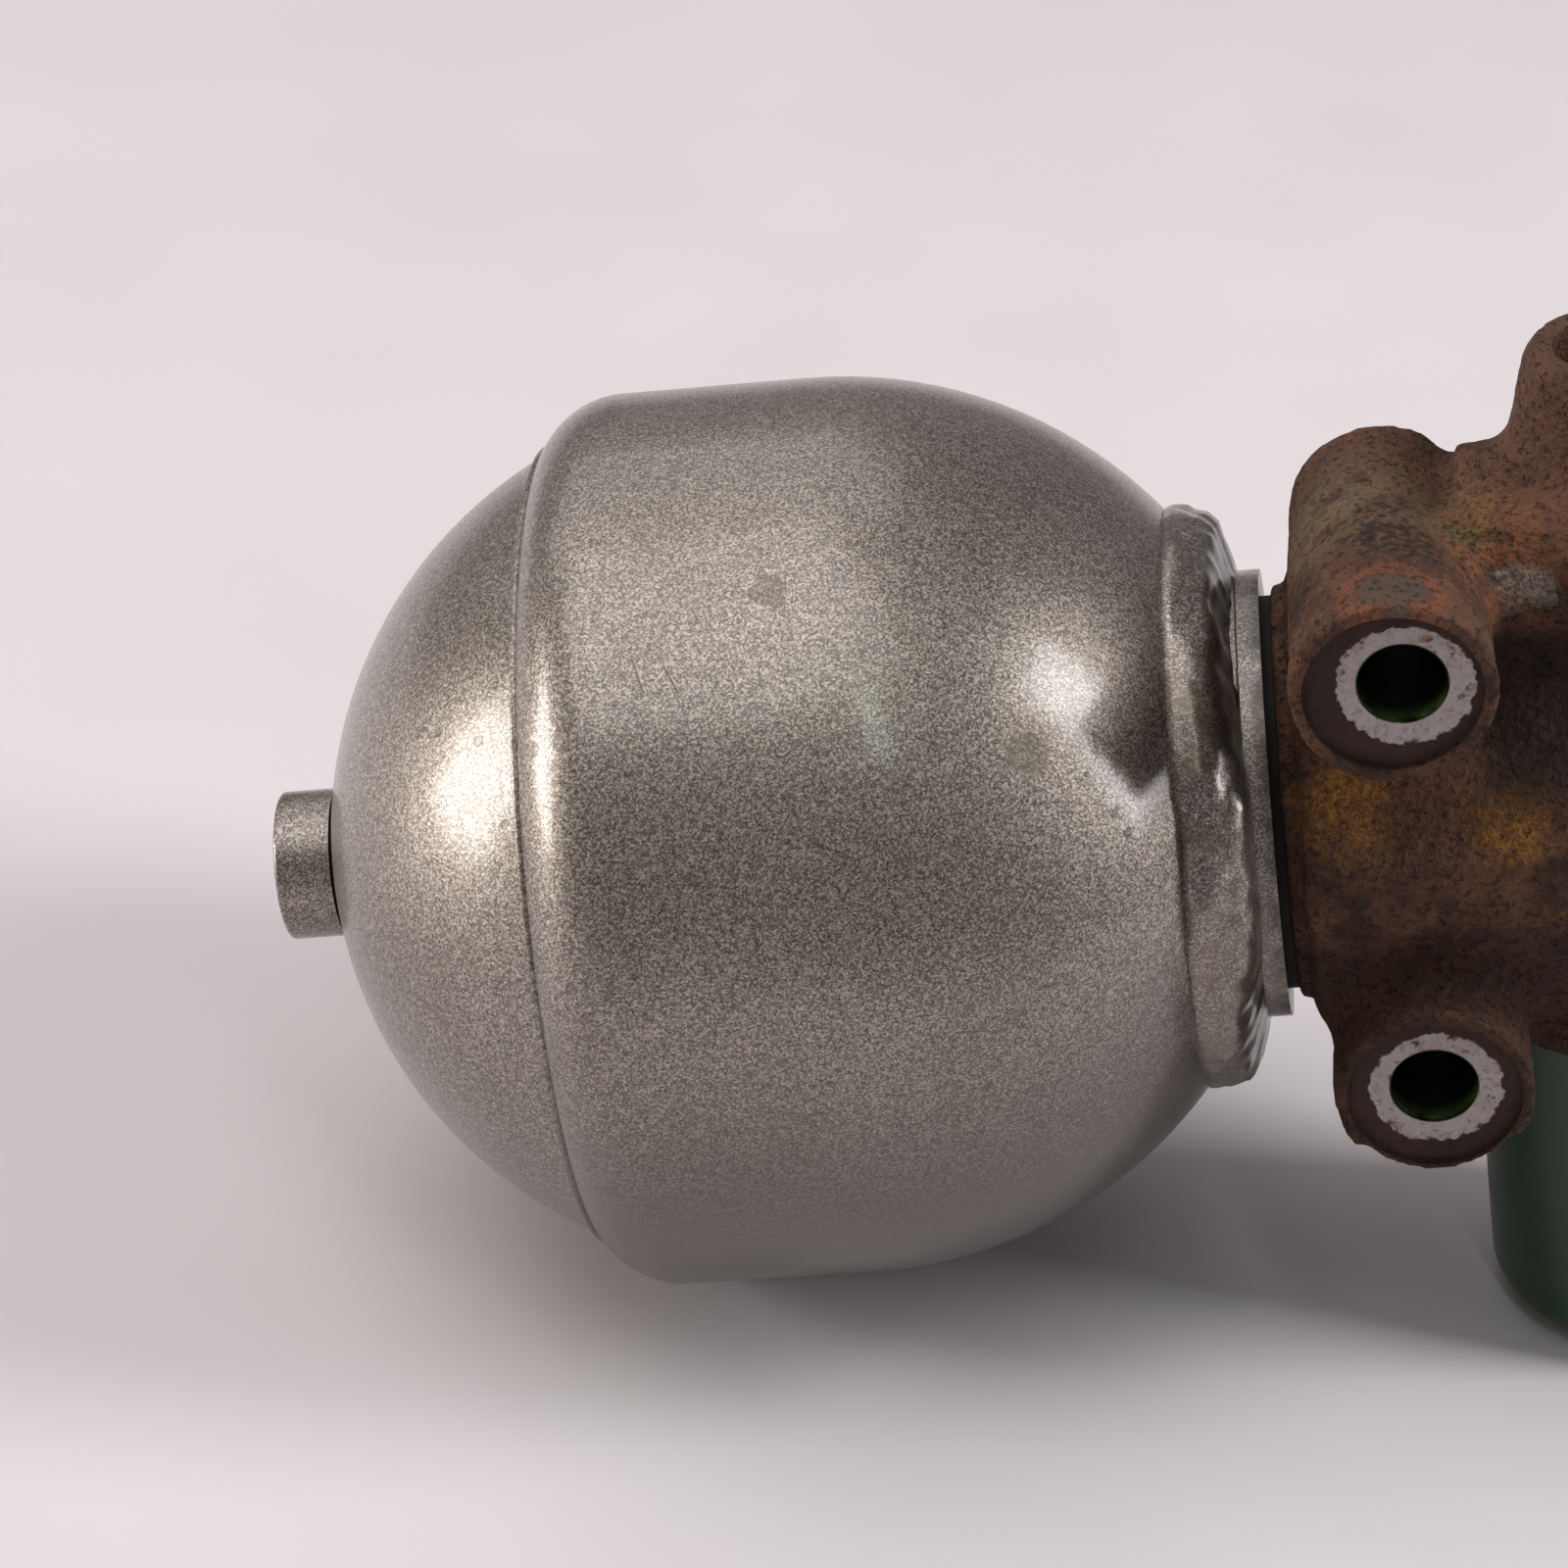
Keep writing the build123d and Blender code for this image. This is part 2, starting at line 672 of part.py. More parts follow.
with BuildPart() as piston_seal:
    with BuildSketch(level(piston_bottom + ring_offset)):
        Circle(skirt_r)
        Circle(skirt_r - ring_depth, mode=Mode.SUBTRACT)
    extrude(amount=ring_height)
    fillet(piston_seal.edges(), ring_depth / 4)

# Can: a drawn steel cup, painted green, pushed over the block's spigot.
canister_bottom = block_bottom - canister_height

with BuildPart() as valve_canister:
    with BuildSketch(level(canister_bottom)):
        Circle(canister_r)
    extrude(amount=canister_height)
    fillet(valve_canister.faces().sort_by(Axis.Z)[0].edges(), canister_round)
    offset(
        amount=-canister_wall,
        openings=valve_canister.faces().sort_by(Axis.Z)[-1],
    )

with BuildPart() as canister_seal:
    with BuildSketch(level(spigot_bottom + ring_offset)):
        Circle(spigot_r)
        Circle(spigot_r - ring_depth, mode=Mode.SUBTRACT)
    extrude(amount=ring_height)
    fillet(canister_seal.edges(), ring_depth / 4)

# Spring seat: a pressed disc with a guide stub, on the can's floor.
seat_disc_bottom = canister_bottom + canister_wall
spring_bottom = seat_disc_bottom + spring_seat_thick

with BuildPart() as spring_seat:
    with BuildSketch(level(seat_disc_bottom)):
        Circle(spring_seat_r)
    extrude(amount=spring_seat_thick)
    with BuildSketch(level(spring_bottom)):
        Circle(spring_guide_r)
    extrude(amount=spring_guide_height)
    chamfer(spring_seat.faces().sort_by(Axis.Z)[-1].edges(), spring_guide_chamfer)

# Coil spring, from the seat disc up into the piston's pocket.
spring_top = piston_bottom + piston_pocket_depth
coil_height = spring_top - spring_bottom - 2 * spring_wire_r

with BuildPart() as piston_spring:
    with BuildLine(level(spring_bottom + spring_wire_r)):
        coil = Helix(coil_height / spring_turns, coil_height, spring_r)
    with BuildSketch(Plane(origin=coil @ 0, z_dir=coil % 0)):
        Circle(spring_wire_r)
    sweep(path=coil)

pieces = {
    "fluid_shell": fluid_shell,
    "gas_shell": gas_shell,
    "filler_boss": filler_boss,
    "filler_plug": filler_plug,
    "filler_seal": filler_seal,
    "diaphragm_ring": diaphragm_ring,
    "diaphragm": diaphragm,
    "diaphragm_button": diaphragm_button,
    "neck_adapter": neck_adapter,
    "neck_weld": neck_weld,
    "neck_seal": neck_seal,
    "damper_body": damper_body,
    "rebound_reed": rebound_reed,
    "compression_reed": compression_reed,
    "damper_rivet": damper_rivet,
    "damper_circlip": damper_circlip,
    "valve_block": valve_block,
    "seat_ring": seat_ring,
    "shutoff_piston": shutoff_piston,
    "piston_seal": piston_seal,
    "piston_spring": piston_spring,
    "spring_seat": spring_seat,
    "valve_canister": valve_canister,
    "canister_seal": canister_seal,
}

for name, piece in pieces.items():
    piece.part.label = name
    export_step(piece.part, f"parts/{name}.step")
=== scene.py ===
import json
from math import acos, asin, atan2, cos, degrees, hypot, pi, radians, sin

import bpy
import numpy as np
from mathutils import Matrix, Vector, noise

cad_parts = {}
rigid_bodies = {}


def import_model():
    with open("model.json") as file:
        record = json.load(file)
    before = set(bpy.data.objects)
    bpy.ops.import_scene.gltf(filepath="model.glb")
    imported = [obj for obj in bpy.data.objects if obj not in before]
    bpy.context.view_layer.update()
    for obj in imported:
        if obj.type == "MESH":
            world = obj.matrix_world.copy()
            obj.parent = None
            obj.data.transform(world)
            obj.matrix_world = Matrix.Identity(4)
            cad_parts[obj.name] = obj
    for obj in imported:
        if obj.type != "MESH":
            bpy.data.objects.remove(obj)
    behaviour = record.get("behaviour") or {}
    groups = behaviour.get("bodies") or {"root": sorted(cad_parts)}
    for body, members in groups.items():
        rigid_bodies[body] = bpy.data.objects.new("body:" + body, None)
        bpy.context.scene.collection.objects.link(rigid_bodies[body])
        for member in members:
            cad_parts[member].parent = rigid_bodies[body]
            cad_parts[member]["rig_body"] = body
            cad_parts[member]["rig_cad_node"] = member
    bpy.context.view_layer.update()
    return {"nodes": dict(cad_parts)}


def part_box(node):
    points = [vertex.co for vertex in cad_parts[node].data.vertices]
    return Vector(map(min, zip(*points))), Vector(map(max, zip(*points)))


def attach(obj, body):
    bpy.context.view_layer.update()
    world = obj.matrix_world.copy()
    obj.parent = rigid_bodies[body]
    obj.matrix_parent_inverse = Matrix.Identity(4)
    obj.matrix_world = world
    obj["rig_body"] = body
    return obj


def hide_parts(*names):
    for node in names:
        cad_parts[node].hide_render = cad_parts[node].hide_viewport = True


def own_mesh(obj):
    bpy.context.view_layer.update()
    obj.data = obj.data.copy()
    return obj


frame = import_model()
nodes = frame["nodes"]
bpy.ops.object.select_all(action="DESELECT")


# Camera: a long lens about seven tenths of a metre away, to the right of the middle and well
# above it, so that the accumulator lies across the frame with its block cut by the right edge.
lens_mm = 127.6
camera_place = Vector((0.0034, -0.605, 0.3904))
camera_up = Vector((0.0749, 0.5541, 0.8291)).normalized()
camera_back = Vector((0.1167, -0.8305, 0.5446)).normalized()
camera_right = camera_up.cross(camera_back).normalized()
camera_up = camera_back.cross(camera_right)

camera = bpy.data.objects.new("camera", bpy.data.cameras.new("camera"))
bpy.context.scene.collection.objects.link(camera)
camera.data.lens = lens_mm
camera.data.sensor_width = 36.0
camera.data.clip_start = 0.05
camera.matrix_world = Matrix((
    (camera_right.x, camera_up.x, camera_back.x, camera_place.x),
    (camera_right.y, camera_up.y, camera_back.y, camera_place.y),
    (camera_right.z, camera_up.z, camera_back.z, camera_place.z),
    (0, 0, 0, 1),
))
bpy.context.scene.camera = camera


# Studio: a pale paper floor, soft window light from the left and from above, and a smaller
# window on the right. The floor is tilted, because the row's axes are the object's own: it
# touches the rolled lip and the rim of the can's floor, on which the object rests.
lip_bend_r = 0.011
can_bend_r = 0.005
lip_bend = Vector((-0.0976, -0.055))
can_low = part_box("valve_canister")[0]
can_bend = Vector((can_low.x + can_bend_r, can_low.z + can_bend_r))
reach = can_bend - lip_bend
down_angle = atan2(reach.y, reach.x) - acos((lip_bend_r - can_bend_r) / reach.length)
floor_down = Vector((cos(down_angle), 0, sin(down_angle)))
floor_point = Vector((can_bend.x, 0, can_bend.y)) + floor_down * can_bend_r


class Wire:
    """A value on its way through a material's nodes. Sums of wires become Math nodes."""

    def __init__(self, socket):
        self.socket = socket

    def node(self, kind, settings=None, inputs=None, out=0):
        """Adds a node to this wire's material, sets it up, feeds it, and returns its output."""
        tree = self.socket.id_data
        made = tree.nodes.new("ShaderNode" + kind)
        for name, value in (settings or {}).items():
            if name == "stops":
                ramp = made.color_ramp.elements
                while len(ramp) < len(value):
                    ramp.new(0.5)
                for stop, (place, colour) in zip(ramp, value):
                    stop.position = place
                    stop.color = (*colour, 1)
            else:
                setattr(made, name, value)
        for name, value in (inputs or {}).items():
            if isinstance(value, Wire):
                tree.links.new(value.socket, made.inputs[name])
            else:
                made.inputs[name].default_value = value
        return Wire(made.outputs[out])

    def sum(self, operation, first, second):
        return self.node("Math", {"operation": operation}, {0: first, 1: second})

    def __add__(self, other):
        return self.sum("ADD", self, other)

    def __radd__(self, other):
        return self.sum("ADD", other, self)

    def __sub__(self, other):
        return self.sum("SUBTRACT", self, other)

    def __rsub__(self, other):
        return self.sum("SUBTRACT", other, self)

    def __mul__(self, other):
        return self.sum("MULTIPLY", self, other)

    def __rmul__(self, other):
        return self.sum("MULTIPLY", other, self)

    def most(self, other):
        return self.sum("MAXIMUM", self, other)

    def least(self, other):
        return self.sum("MINIMUM", self, other)

    def between(self, low, high):
        """0 up to low, 1 from high on, and smooth in between. High may be the lower one."""
        return self.node("MapRange", {"interpolation_type": "SMOOTHSTEP"},
                         {"Value": self, "From Min": low, "From Max": high})

    def part(self, axis):
        """One coordinate of a place, X, Y or Z."""
        return self.node("SeparateXYZ", {}, {0: self}, "XYZ".index(axis))

    def cloud(self, size, detail=2.0, rough=0.5):
        """Soft noise at a place, its lumps about size metres across."""
        return self.node("TexNoise", {}, {
            "Vector": self, "Scale": 1 / size, "Detail": detail, "Roughness": rough})

    def grit(self, size):
        """A value of its own for each grain, the grains being about size metres across."""
        colour = self.node("TexVoronoi", {}, {"Vector": self, "Scale": 1 / size}, "Color")
        return colour.node("SeparateColor", {}, {0: colour})

    def off(self, centre):
        """How far a place is from a centre, in metres."""
        return self.node("VectorMath", {"operation": "DISTANCE"}, {0: self, 1: centre}, "Value")

    def stretched(self, scale):
        """The place, with its axes scaled, so that a pattern on it is drawn out."""
        return self.node("Mapping", {"vector_type": "POINT"}, {"Vector": self, "Scale": scale})


def blended(wire, painted_underside_shade, over, mask):
    """Over on top of under, where the mask is 1. Both may be wires or plain colours."""
    return wire.node("Mix", {"data_type": "RGBA"}, {
        0: mask,
        6: painted_underside_shade if isinstance(painted_underside_shade, Wire) else (*painted_underside_shade, 1),
        7: over if isinstance(over, Wire) else (*over, 1),
    }, 2)


def paper_light(name, place, size, watts, colour):
    """A soft panel of light that looks at the object from a place."""
    bpy.ops.object.light_add(type="AREA", location=place)
    light = bpy.context.object
    light.name = name
    light.rotation_euler = (Vector((-0.05, 0, 0)) - Vector(place)).to_track_quat("-Z", "Y").to_euler()
    light.data.shape = "RECTANGLE"
    light.data.size, light.data.size_y = size
    light.data.energy = watts
    light.data.color = colour


paper_light("window_left", (-1.35, -0.15, 0.42), (0.55, 0.75), 13.6, (1.0, 0.965, 0.93))
paper_light("window_right", (0.95, -0.05, 0.38), (0.32, 0.78), 8.6, (0.98, 0.98, 1.0))
paper_light("sky_behind", (-0.45, 0.85, 1.10), (1.4, 1.1), 3.9, (1.0, 0.97, 0.97))
paper_light("ceiling", (-0.25, -0.10, 1.30), (1.1, 1.0), 7.2, (1.0, 0.97, 0.97))
paper_light("front_strip", (0.22, -0.62, 1.05), (0.04, 0.45), 0.7, (0.80, 1.0, 0.90))

world = bpy.data.worlds.new("studio")
world.use_nodes = True
world.node_tree.nodes["Background"].inputs["Color"].default_value = (0.78, 0.75, 0.76, 1)
world.node_tree.nodes["Background"].inputs["Strength"].default_value = 0.26
bpy.context.scene.world = world
bpy.context.scene.view_settings.view_transform = "Standard"

bpy.ops.mesh.primitive_plane_add(size=7.0, location=floor_point)
floor = bpy.context.object
floor.name = "paper_floor"
floor.rotation_mode = "QUATERNION"
floor.rotation_quaternion = (-floor_down).to_track_quat("Z", "Y")


def start_finish(name):
    """A new finish: its material, the shader, and the place on the object as a wire."""
    finish = bpy.data.materials.new(name)
    finish.use_nodes = True
    shader = finish.node_tree.nodes["Principled BSDF"]
    place = Wire(finish.node_tree.nodes.new("ShaderNodeTexCoord").outputs["Object"])
    return finish, shader, place


def feed(shader, **wires):
    """Sets the shader's sockets, Base_Color standing for Base Color, from wires or numbers."""
    for name, value in wires.items():
        socket = shader.inputs[name.replace("_", " ")]
        if isinstance(value, Wire):
            shader.id_data.links.new(value.socket, socket)
        else:
            socket.default_value = value


def relief(height, depth):
    """The bump that a height from 0 to 1 makes, depth metres deep."""
    return height.node("Bump", {}, {"Height": height, "Distance": depth, "Strength": 1.0})


paper, shader, place = start_finish("pale_paper")
feed(shader,
     Base_Color=blended(place, (0.70, 0.655, 0.665), (0.76, 0.715, 0.725), place.cloud(0.05, 1.0)),
     Roughness=0.75)
floor.data.materials.append(paper)


# Fluid shell and gas shell: two cups drawn from steel plate, the first one rolled over the
# shoulder of the second, with the charging stub pressed into the gas shell's pole. All are
# sprayed after welding with one coat of metallic paint, which has coarse flakes and some dirt.
shell_centre = Vector((-0.0733, -0.008, -0.008))
flake_size = 0.00022
seam_x = -0.1076
seam_r = 0.0519
scratches = [
    (Vector((-0.0919, -0.0406, 0.0400)), Vector((-0.0906, -0.0441, 0.0374))),
    (Vector((-0.0880, -0.0417, 0.0392)), Vector((-0.0864, -0.0444, 0.0371))),
]
smudges = [(Vector((-0.0751, -0.0339, 0.0439)), 0.0026), (Vector((-0.0455, -0.0462, 0.0256)), 0.0034)]
chips = [
    (Vector((-0.1046, -0.0466, 0.0319)), 0.0009), (Vector((-0.1042, -0.0586, 0.0156)), 0.0008),
    (Vector((-0.1020, -0.0629, 0.0076)), 0.0011), (Vector((-0.1016, -0.0632, -0.0229)), 0.0016),
    (Vector((-0.1184, -0.0346, 0.0278)), 0.0006), (Vector((-0.1126, -0.0393, 0.0291)), 0.0008),
    (Vector((-0.1073, -0.0433, 0.0304)), 0.0009), (Vector((-0.1095, -0.0480, 0.0224)), 0.0007),
    (Vector((-0.1051, -0.0410, 0.0361)), 0.0007),
]
pits = [
    (Vector((-0.0374, -0.0418, 0.0226)), 0.0007), (Vector((-0.0388, -0.0445, 0.0210)), 0.0006),
    (Vector((-0.0355, -0.0452, 0.0154)), 0.0012), (Vector((-0.0345, -0.0458, 0.0128)), 0.0009),
]


def silver_paint(name, grime, underside_shade):
    """Sprayed metallic paint: coarse flakes, orange peel, grime from 0 to 1, and painted shade darkening its underside
    from 0 to 1.
    """
    finish, shader, place = start_finish(name)
    flake = place.grit(flake_size)
    fine = place.grit(flake_size * 0.45)
    sparkle = flake * flake * 0.70 + fine * fine * 0.45
    colour = blended(place, (0.045, 0.037, 0.030), (0.62, 0.54, 0.465), sparkle)
    film = place.cloud(0.020, 4.0, 0.6).between(0.45, 0.75) * (0.12 + 0.5 * grime)
    colour = blended(place, colour, (0.15, 0.115, 0.085), film)
    # Painted shade: the paint is darkened towards its underside, by the given amount.
    painted_underside_shade = place.part("Z").between(0.012, -0.042)
    colour = blended(place, colour, (0.085, 0.070, 0.060), painted_underside_shade * underside_shade)
    specks = place.cloud(0.0011, 2.0, 0.5).between(0.73, 0.78)
    colour = blended(place, colour, (0.05, 0.042, 0.036), specks * (0.15 + 0.8 * grime))
    peel = place.cloud(0.0016, 2.0)
    rough = 0.38 + 0.06 * place.cloud(0.006, 3.0) + 0.04 * sparkle + 0.15 * film
    height = peel * 0.22 + flake * 0.45
    feed(shader, Coat_Weight=0.75 - 0.4 * film, Coat_Roughness=0.17, Coat_IOR=1.5)
    return finish, shader, place, colour, rough, height


def spots(place, marks, blur):
    """1 inside any of the round marks, its edge made uneven by noise, 0 outside."""
    uneven = place.cloud(0.0009, 2.0) - 0.5
    found = None
    for centre, size in marks:
        spot = (place.off(centre) + uneven * size).between(size, size * (1 - blur))
        found = spot if found is None else found.most(spot)
    return found


def scratch_lines(place, lines, width):
    """1 along each thin scratch between two places, 0 elsewhere."""
    found = None
    for start, end in lines:
        run = end - start
        along = place.node("VectorMath", {"operation": "SUBTRACT"}, {0: place, 1: start})
        share = along.node("VectorMath", {"operation": "DOT_PRODUCT"},
                           {0: along, 1: run / run.length_squared}, "Value").most(0.0).least(1.0)
        nearest = share.node("VectorMath", {"operation": "SCALE"}, {0: run, "Scale": share})
        gap = along.node("VectorMath", {"operation": "DISTANCE"}, {0: along, 1: nearest}, "Value")
        line = gap.between(width, width * 0.3)
        found = line if found is None else found.most(line)
    return found


fluid_paint, shader, place, colour, rough, height = silver_paint("silver_on_fluid_shell", 0.12, 0.90)
marks = scratch_lines(place, scratches, 0.00022)
dull = spots(place, smudges, 0.25)
chipped = spots(place, chips, 0.35)
pitted = spots(place, pits, 0.5) * place.cloud(0.0006, 2.0).between(0.45, 0.60)
colour = blended(place, colour, (0.20, 0.165, 0.13), dull * 0.35)
colour = blended(place, colour, (0.10, 0.085, 0.07), (marks * 0.8).most(chipped * 0.45).most(pitted * 0.8))
height = height - marks * 0.9 - chipped * 0.9 - pitted * 1.2
feed(shader, Base_Color=colour, Metallic=0.88, Roughness=rough + dull * 0.2,
     Normal=relief(height, 0.00009))
for slot in nodes["fluid_shell"].material_slots:
    slot.material = fluid_paint

gas_paint, shader, place, colour, rough, height = silver_paint("silver_on_gas_shell", 0.10, 0.25)
chipped = spots(place, chips, 0.35)
colour = blended(place, colour, (0.10, 0.085, 0.07), chipped * 0.5)
feed(shader, Base_Color=colour, Metallic=0.88, Roughness=rough,
     Normal=relief(height - chipped * 0.9, 0.00009))
for node in ("gas_shell", "filler_boss"):
    for slot in nodes[node].material_slots:
        slot.material = gas_paint


# Paint in the seam: the spray has run into the gap under the rolled lip and left a thin, shallow
# fillet of paint there, turned here as one narrow ring.
bpy.ops.mesh.primitive_circle_add(vertices=12, radius=0.00030)
seam_paint = bpy.context.object
seam_paint.name = "seam_paint"
for vertex in seam_paint.data.vertices:
    vertex.co = (seam_x + vertex.co.x * 1.6, shell_centre.y, shell_centre.z + seam_r + vertex.co.y)
bpy.ops.object.mode_set(mode="EDIT")
bpy.ops.mesh.select_all(action="SELECT")
bpy.ops.mesh.spin(steps=240, angle=2 * pi, center=(0, shell_centre.y, shell_centre.z), axis=(1, 0, 0))
bpy.ops.mesh.select_all(action="SELECT")
bpy.ops.mesh.remove_doubles(threshold=0.000002)
bpy.ops.mesh.normals_make_consistent(inside=False)
bpy.ops.object.mode_set(mode="OBJECT")
bpy.ops.object.shade_smooth()
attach(seam_paint, "housing")
seam_paint.data.materials.append(fluid_paint)


# Inner pieces: turned and drilled steel, spring steel, and rubber. The plug, its washer, the
# membrane with its hoop and button, the damping valve, and the shut-off valve with its spring.
def turned_steel(name, dark, bright, rough, ring_size):
    """Bare machined steel with fine tool marks and a thin film of oil."""
    finish, shader, place = start_finish(name)
    lines = place.stretched((1.0, 0.15, 0.15)).cloud(ring_size, 3.0, 0.6)
    stain = place.cloud(0.004, 4.0, 0.6).between(0.40, 0.75)
    colour = blended(place, dark, bright, lines)
    colour = blended(place, colour, tuple(0.4 * c for c in dark), stain * 0.6)
    feed(shader, Base_Color=colour, Metallic=1.0, Roughness=rough + 0.25 * stain + 0.08 * lines,
         Normal=relief(lines, 0.00001))
    return finish


def moulded_rubber(name, colour, bloom):
    """Black rubber with a faint mould grain and a dusty bloom."""
    finish, shader, place = start_finish(name)
    dust = place.cloud(0.003, 4.0, 0.65).between(0.45, 0.75)
    feed(shader, Base_Color=blended(place, colour, bloom, dust * 0.5),
         Roughness=0.65 + 0.25 * dust, Specular_IOR_Level=0.3, Normal=relief(place.cloud(0.0004, 2.0), 0.00003))
    return finish


plain_steel = turned_steel("turned_steel", (0.36, 0.35, 0.34), (0.62, 0.61, 0.59), 0.26, 0.0004)
spring_steel = turned_steel("spring_steel", (0.16, 0.155, 0.16), (0.33, 0.325, 0.33), 0.34, 0.0006)
seal_rubber = moulded_rubber("seal_rubber", (0.008, 0.006, 0.005), (0.040, 0.024, 0.015))
membrane_rubber = moulded_rubber("membrane_rubber", (0.020, 0.019, 0.019), (0.07, 0.065, 0.06))
inner_pieces = {
    plain_steel: ("filler_plug", "diaphragm_ring", "diaphragm_button", "damper_body",
                  "damper_rivet", "seat_ring", "shutoff_piston", "spring_seat"),
    spring_steel: ("rebound_reed", "compression_reed", "damper_circlip", "piston_spring"),
    seal_rubber: ("filler_seal", "neck_seal", "piston_seal", "canister_seal"),
    membrane_rubber: ("diaphragm",),
}
for finish, members in inner_pieces.items():
    for node in members:
        for slot in nodes[node].material_slots:
            slot.material = finish


# Shut-off spring: a coil of spring wire under the piston. It shortens as the piston is pushed down
# onto it. A copy of the coil, its doubled points merged, stands in for it.
spring_low, spring_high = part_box("piston_spring")
coil = nodes["piston_spring"].copy()
coil.data = nodes["piston_spring"].data.copy()
bpy.context.scene.collection.objects.link(coil)
coil.name = "shutoff_spring"
coil.parent = None
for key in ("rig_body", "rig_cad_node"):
    del coil[key]
bpy.ops.object.select_all(action="DESELECT")
coil.select_set(True)
bpy.context.view_layer.objects.active = coil
bpy.ops.object.mode_set(mode="EDIT")
bpy.ops.mesh.select_all(action="SELECT")
bpy.ops.mesh.remove_doubles(threshold=0.000005)
bpy.ops.object.mode_set(mode="OBJECT")
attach(coil, "housing")
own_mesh(coil)
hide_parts("piston_spring")


# Neck: turned from bar, its ledge standing round the weld and its thread gone into the block.
# The spray has reached the ledge, and grease and rust from the block lie on it.
neck_paint, shader, place, colour, rough, height = silver_paint("silver_on_neck", 0.9, 0.5)
greasy = place.part("X").between(-0.0198, -0.0174) * place.cloud(0.003, 3.0).between(0.30, 0.60)
colour = blended(place, colour, (0.045, 0.032, 0.024), greasy * 0.75)
feed(shader, Base_Color=colour, Metallic=0.60, Roughness=rough + greasy * 0.2,
     Normal=relief(height, 0.00009))
for slot in nodes["neck_adapter"].material_slots:
    slot.material = neck_paint


# Weld: a heavy bead run once round the neck, then sprayed. Its crest wanders between the dome
# and the ledge, with a deep groove along the ledge above and a thick lump in front.
weld_centre_x = -0.0242
ledge_left = -0.0214
weld_steps = 420
camera_turn = radians(33.6)
weld_section = [
    (-0.0296, 0.0362), (-0.0292, 0.0371), (-0.0286, 0.0376), (-0.0277, 0.0377), (-0.0268, 0.0375),
    (-0.0259, 0.0374), (-0.0250, 0.0371), (-0.0242, 0.0368), (-0.0235, 0.0364), (-0.0229, 0.0357),
    (-0.0224, 0.0349), (-0.0220, 0.0340), (-0.0217, 0.0331), (-0.0214, 0.0322), (-0.0211, 0.0312),
    (-0.0208, 0.0302), (-0.0205, 0.0294), (-0.0203, 0.0290), (-0.0206, 0.02875), (-0.0213, 0.02875),
    (-0.0213, 0.0270), (-0.0218, 0.0262), (-0.0230, 0.0262), (-0.0250, 0.0280), (-0.0268, 0.0305),
    (-0.0283, 0.0335),
]
skin_points = 18


def bump_at(value, low, high):
    """A smooth rise from 0 at low to 1 at high."""
    share = min(1.0, max(0.0, (value - low) / (high - low)))
    return share * share * (3 - 2 * share)


bpy.ops.mesh.primitive_circle_add(
    vertices=len(weld_section), radius=0.004, location=(weld_centre_x, shell_centre.y, shell_centre.z + 0.033))
weld = bpy.context.object
weld.name = "neck_weld_bead"
bpy.ops.object.transform_apply(location=True, rotation=True, scale=True)
for vertex, (x, r) in zip(weld.data.vertices, weld_section):
    vertex.co = (x, shell_centre.y, shell_centre.z + r)
bpy.ops.object.mode_set(mode="EDIT")
bpy.ops.mesh.select_all(action="SELECT")
bpy.ops.mesh.spin(steps=weld_steps, angle=2 * pi, center=(0, shell_centre.y, shell_centre.z), axis=(1, 0, 0))
bpy.ops.mesh.select_all(action="SELECT")
bpy.ops.mesh.remove_doubles(threshold=0.000002)
bpy.ops.mesh.normals_make_consistent(inside=False)
bpy.ops.object.mode_set(mode="OBJECT")

skin = {(round(x, 6), round(r, 6)): i for i, (x, r) in enumerate(weld_section)}
for vertex in weld.data.vertices:
    x, y, z = vertex.co.x, vertex.co.y - shell_centre.y, vertex.co.z - shell_centre.z
    r = hypot(y, z)
    step = skin.get((round(x, 6), round(r, 6)))
    if step is None or not 0 < step < skin_points - 1:
        continue
    turn = degrees(atan2(z, -y) - camera_turn)
    turn = (turn + 180) % 360 - 180
    share = step / (skin_points - 1)
    around = Vector((cos(radians(turn)), sin(radians(turn)), 0))
    big = noise.noise(around * 2.6 + Vector((0, 0, x * 120)))
    small = noise.noise(around * 9.0 + Vector((3, 0, x * 420)))
    ripple = sin(radians(turn) * 46 + 1.6 * big) * bump_at(share, 0.25, 0.5)
    groove = bump_at(turn, 8, 30) * (1 - bump_at(turn, 62, 86)) * bump_at(share, 0.52, 0.72) * (1 - bump_at(share, 0.85, 1.0))
    lump = (1 - bump_at(turn, -4, 16)) * bump_at(turn, -60, -28) * bump_at(share, 0.45, 0.78) * (1 - bump_at(share, 0.93, 1.0))
    crease = (1 - bump_at(turn, -5, 2)) * bump_at(turn, -34, -20) * bump_at(share, 0.02, 0.08) * (1 - bump_at(share, 0.10, 0.20))
    ridge = bump_at(share, 0.18, 0.30) * (1 - bump_at(share, 0.34, 0.44))
    out = 0.00062 * big + 0.00024 * small + 0.00008 * ripple - 0.0018 * groove + 0.0014 * lump - 0.0010 * crease
    out += 0.00045 * ridge * noise.noise(around * 4.0 + Vector((9, 2, 0)))
    drawn = abs(noise.noise(Vector((share * 7.5 + 1.5 * big, turn / 34, 4))))
    out += 0.00026 * (0.18 - min(0.18, drawn)) / 0.18 * bump_at(share, 0.12, 0.25) * (1 - bump_at(share, 0.80, 0.92))
    shift = 0.0009 * lump + 0.0005 * small * bump_at(share, 0.3, 0.6) * (1 - bump_at(share, 0.8, 1.0))
    fade = bump_at(share, 0.0, 0.06) * (1 - bump_at(share, 0.94, 1.0))
    r_new = r + out * fade
    vertex.co = (x + shift * fade, shell_centre.y + y * r_new / r, shell_centre.z + z * r_new / r)
bpy.ops.object.shade_smooth()
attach(weld, "housing")
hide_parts("neck_weld")

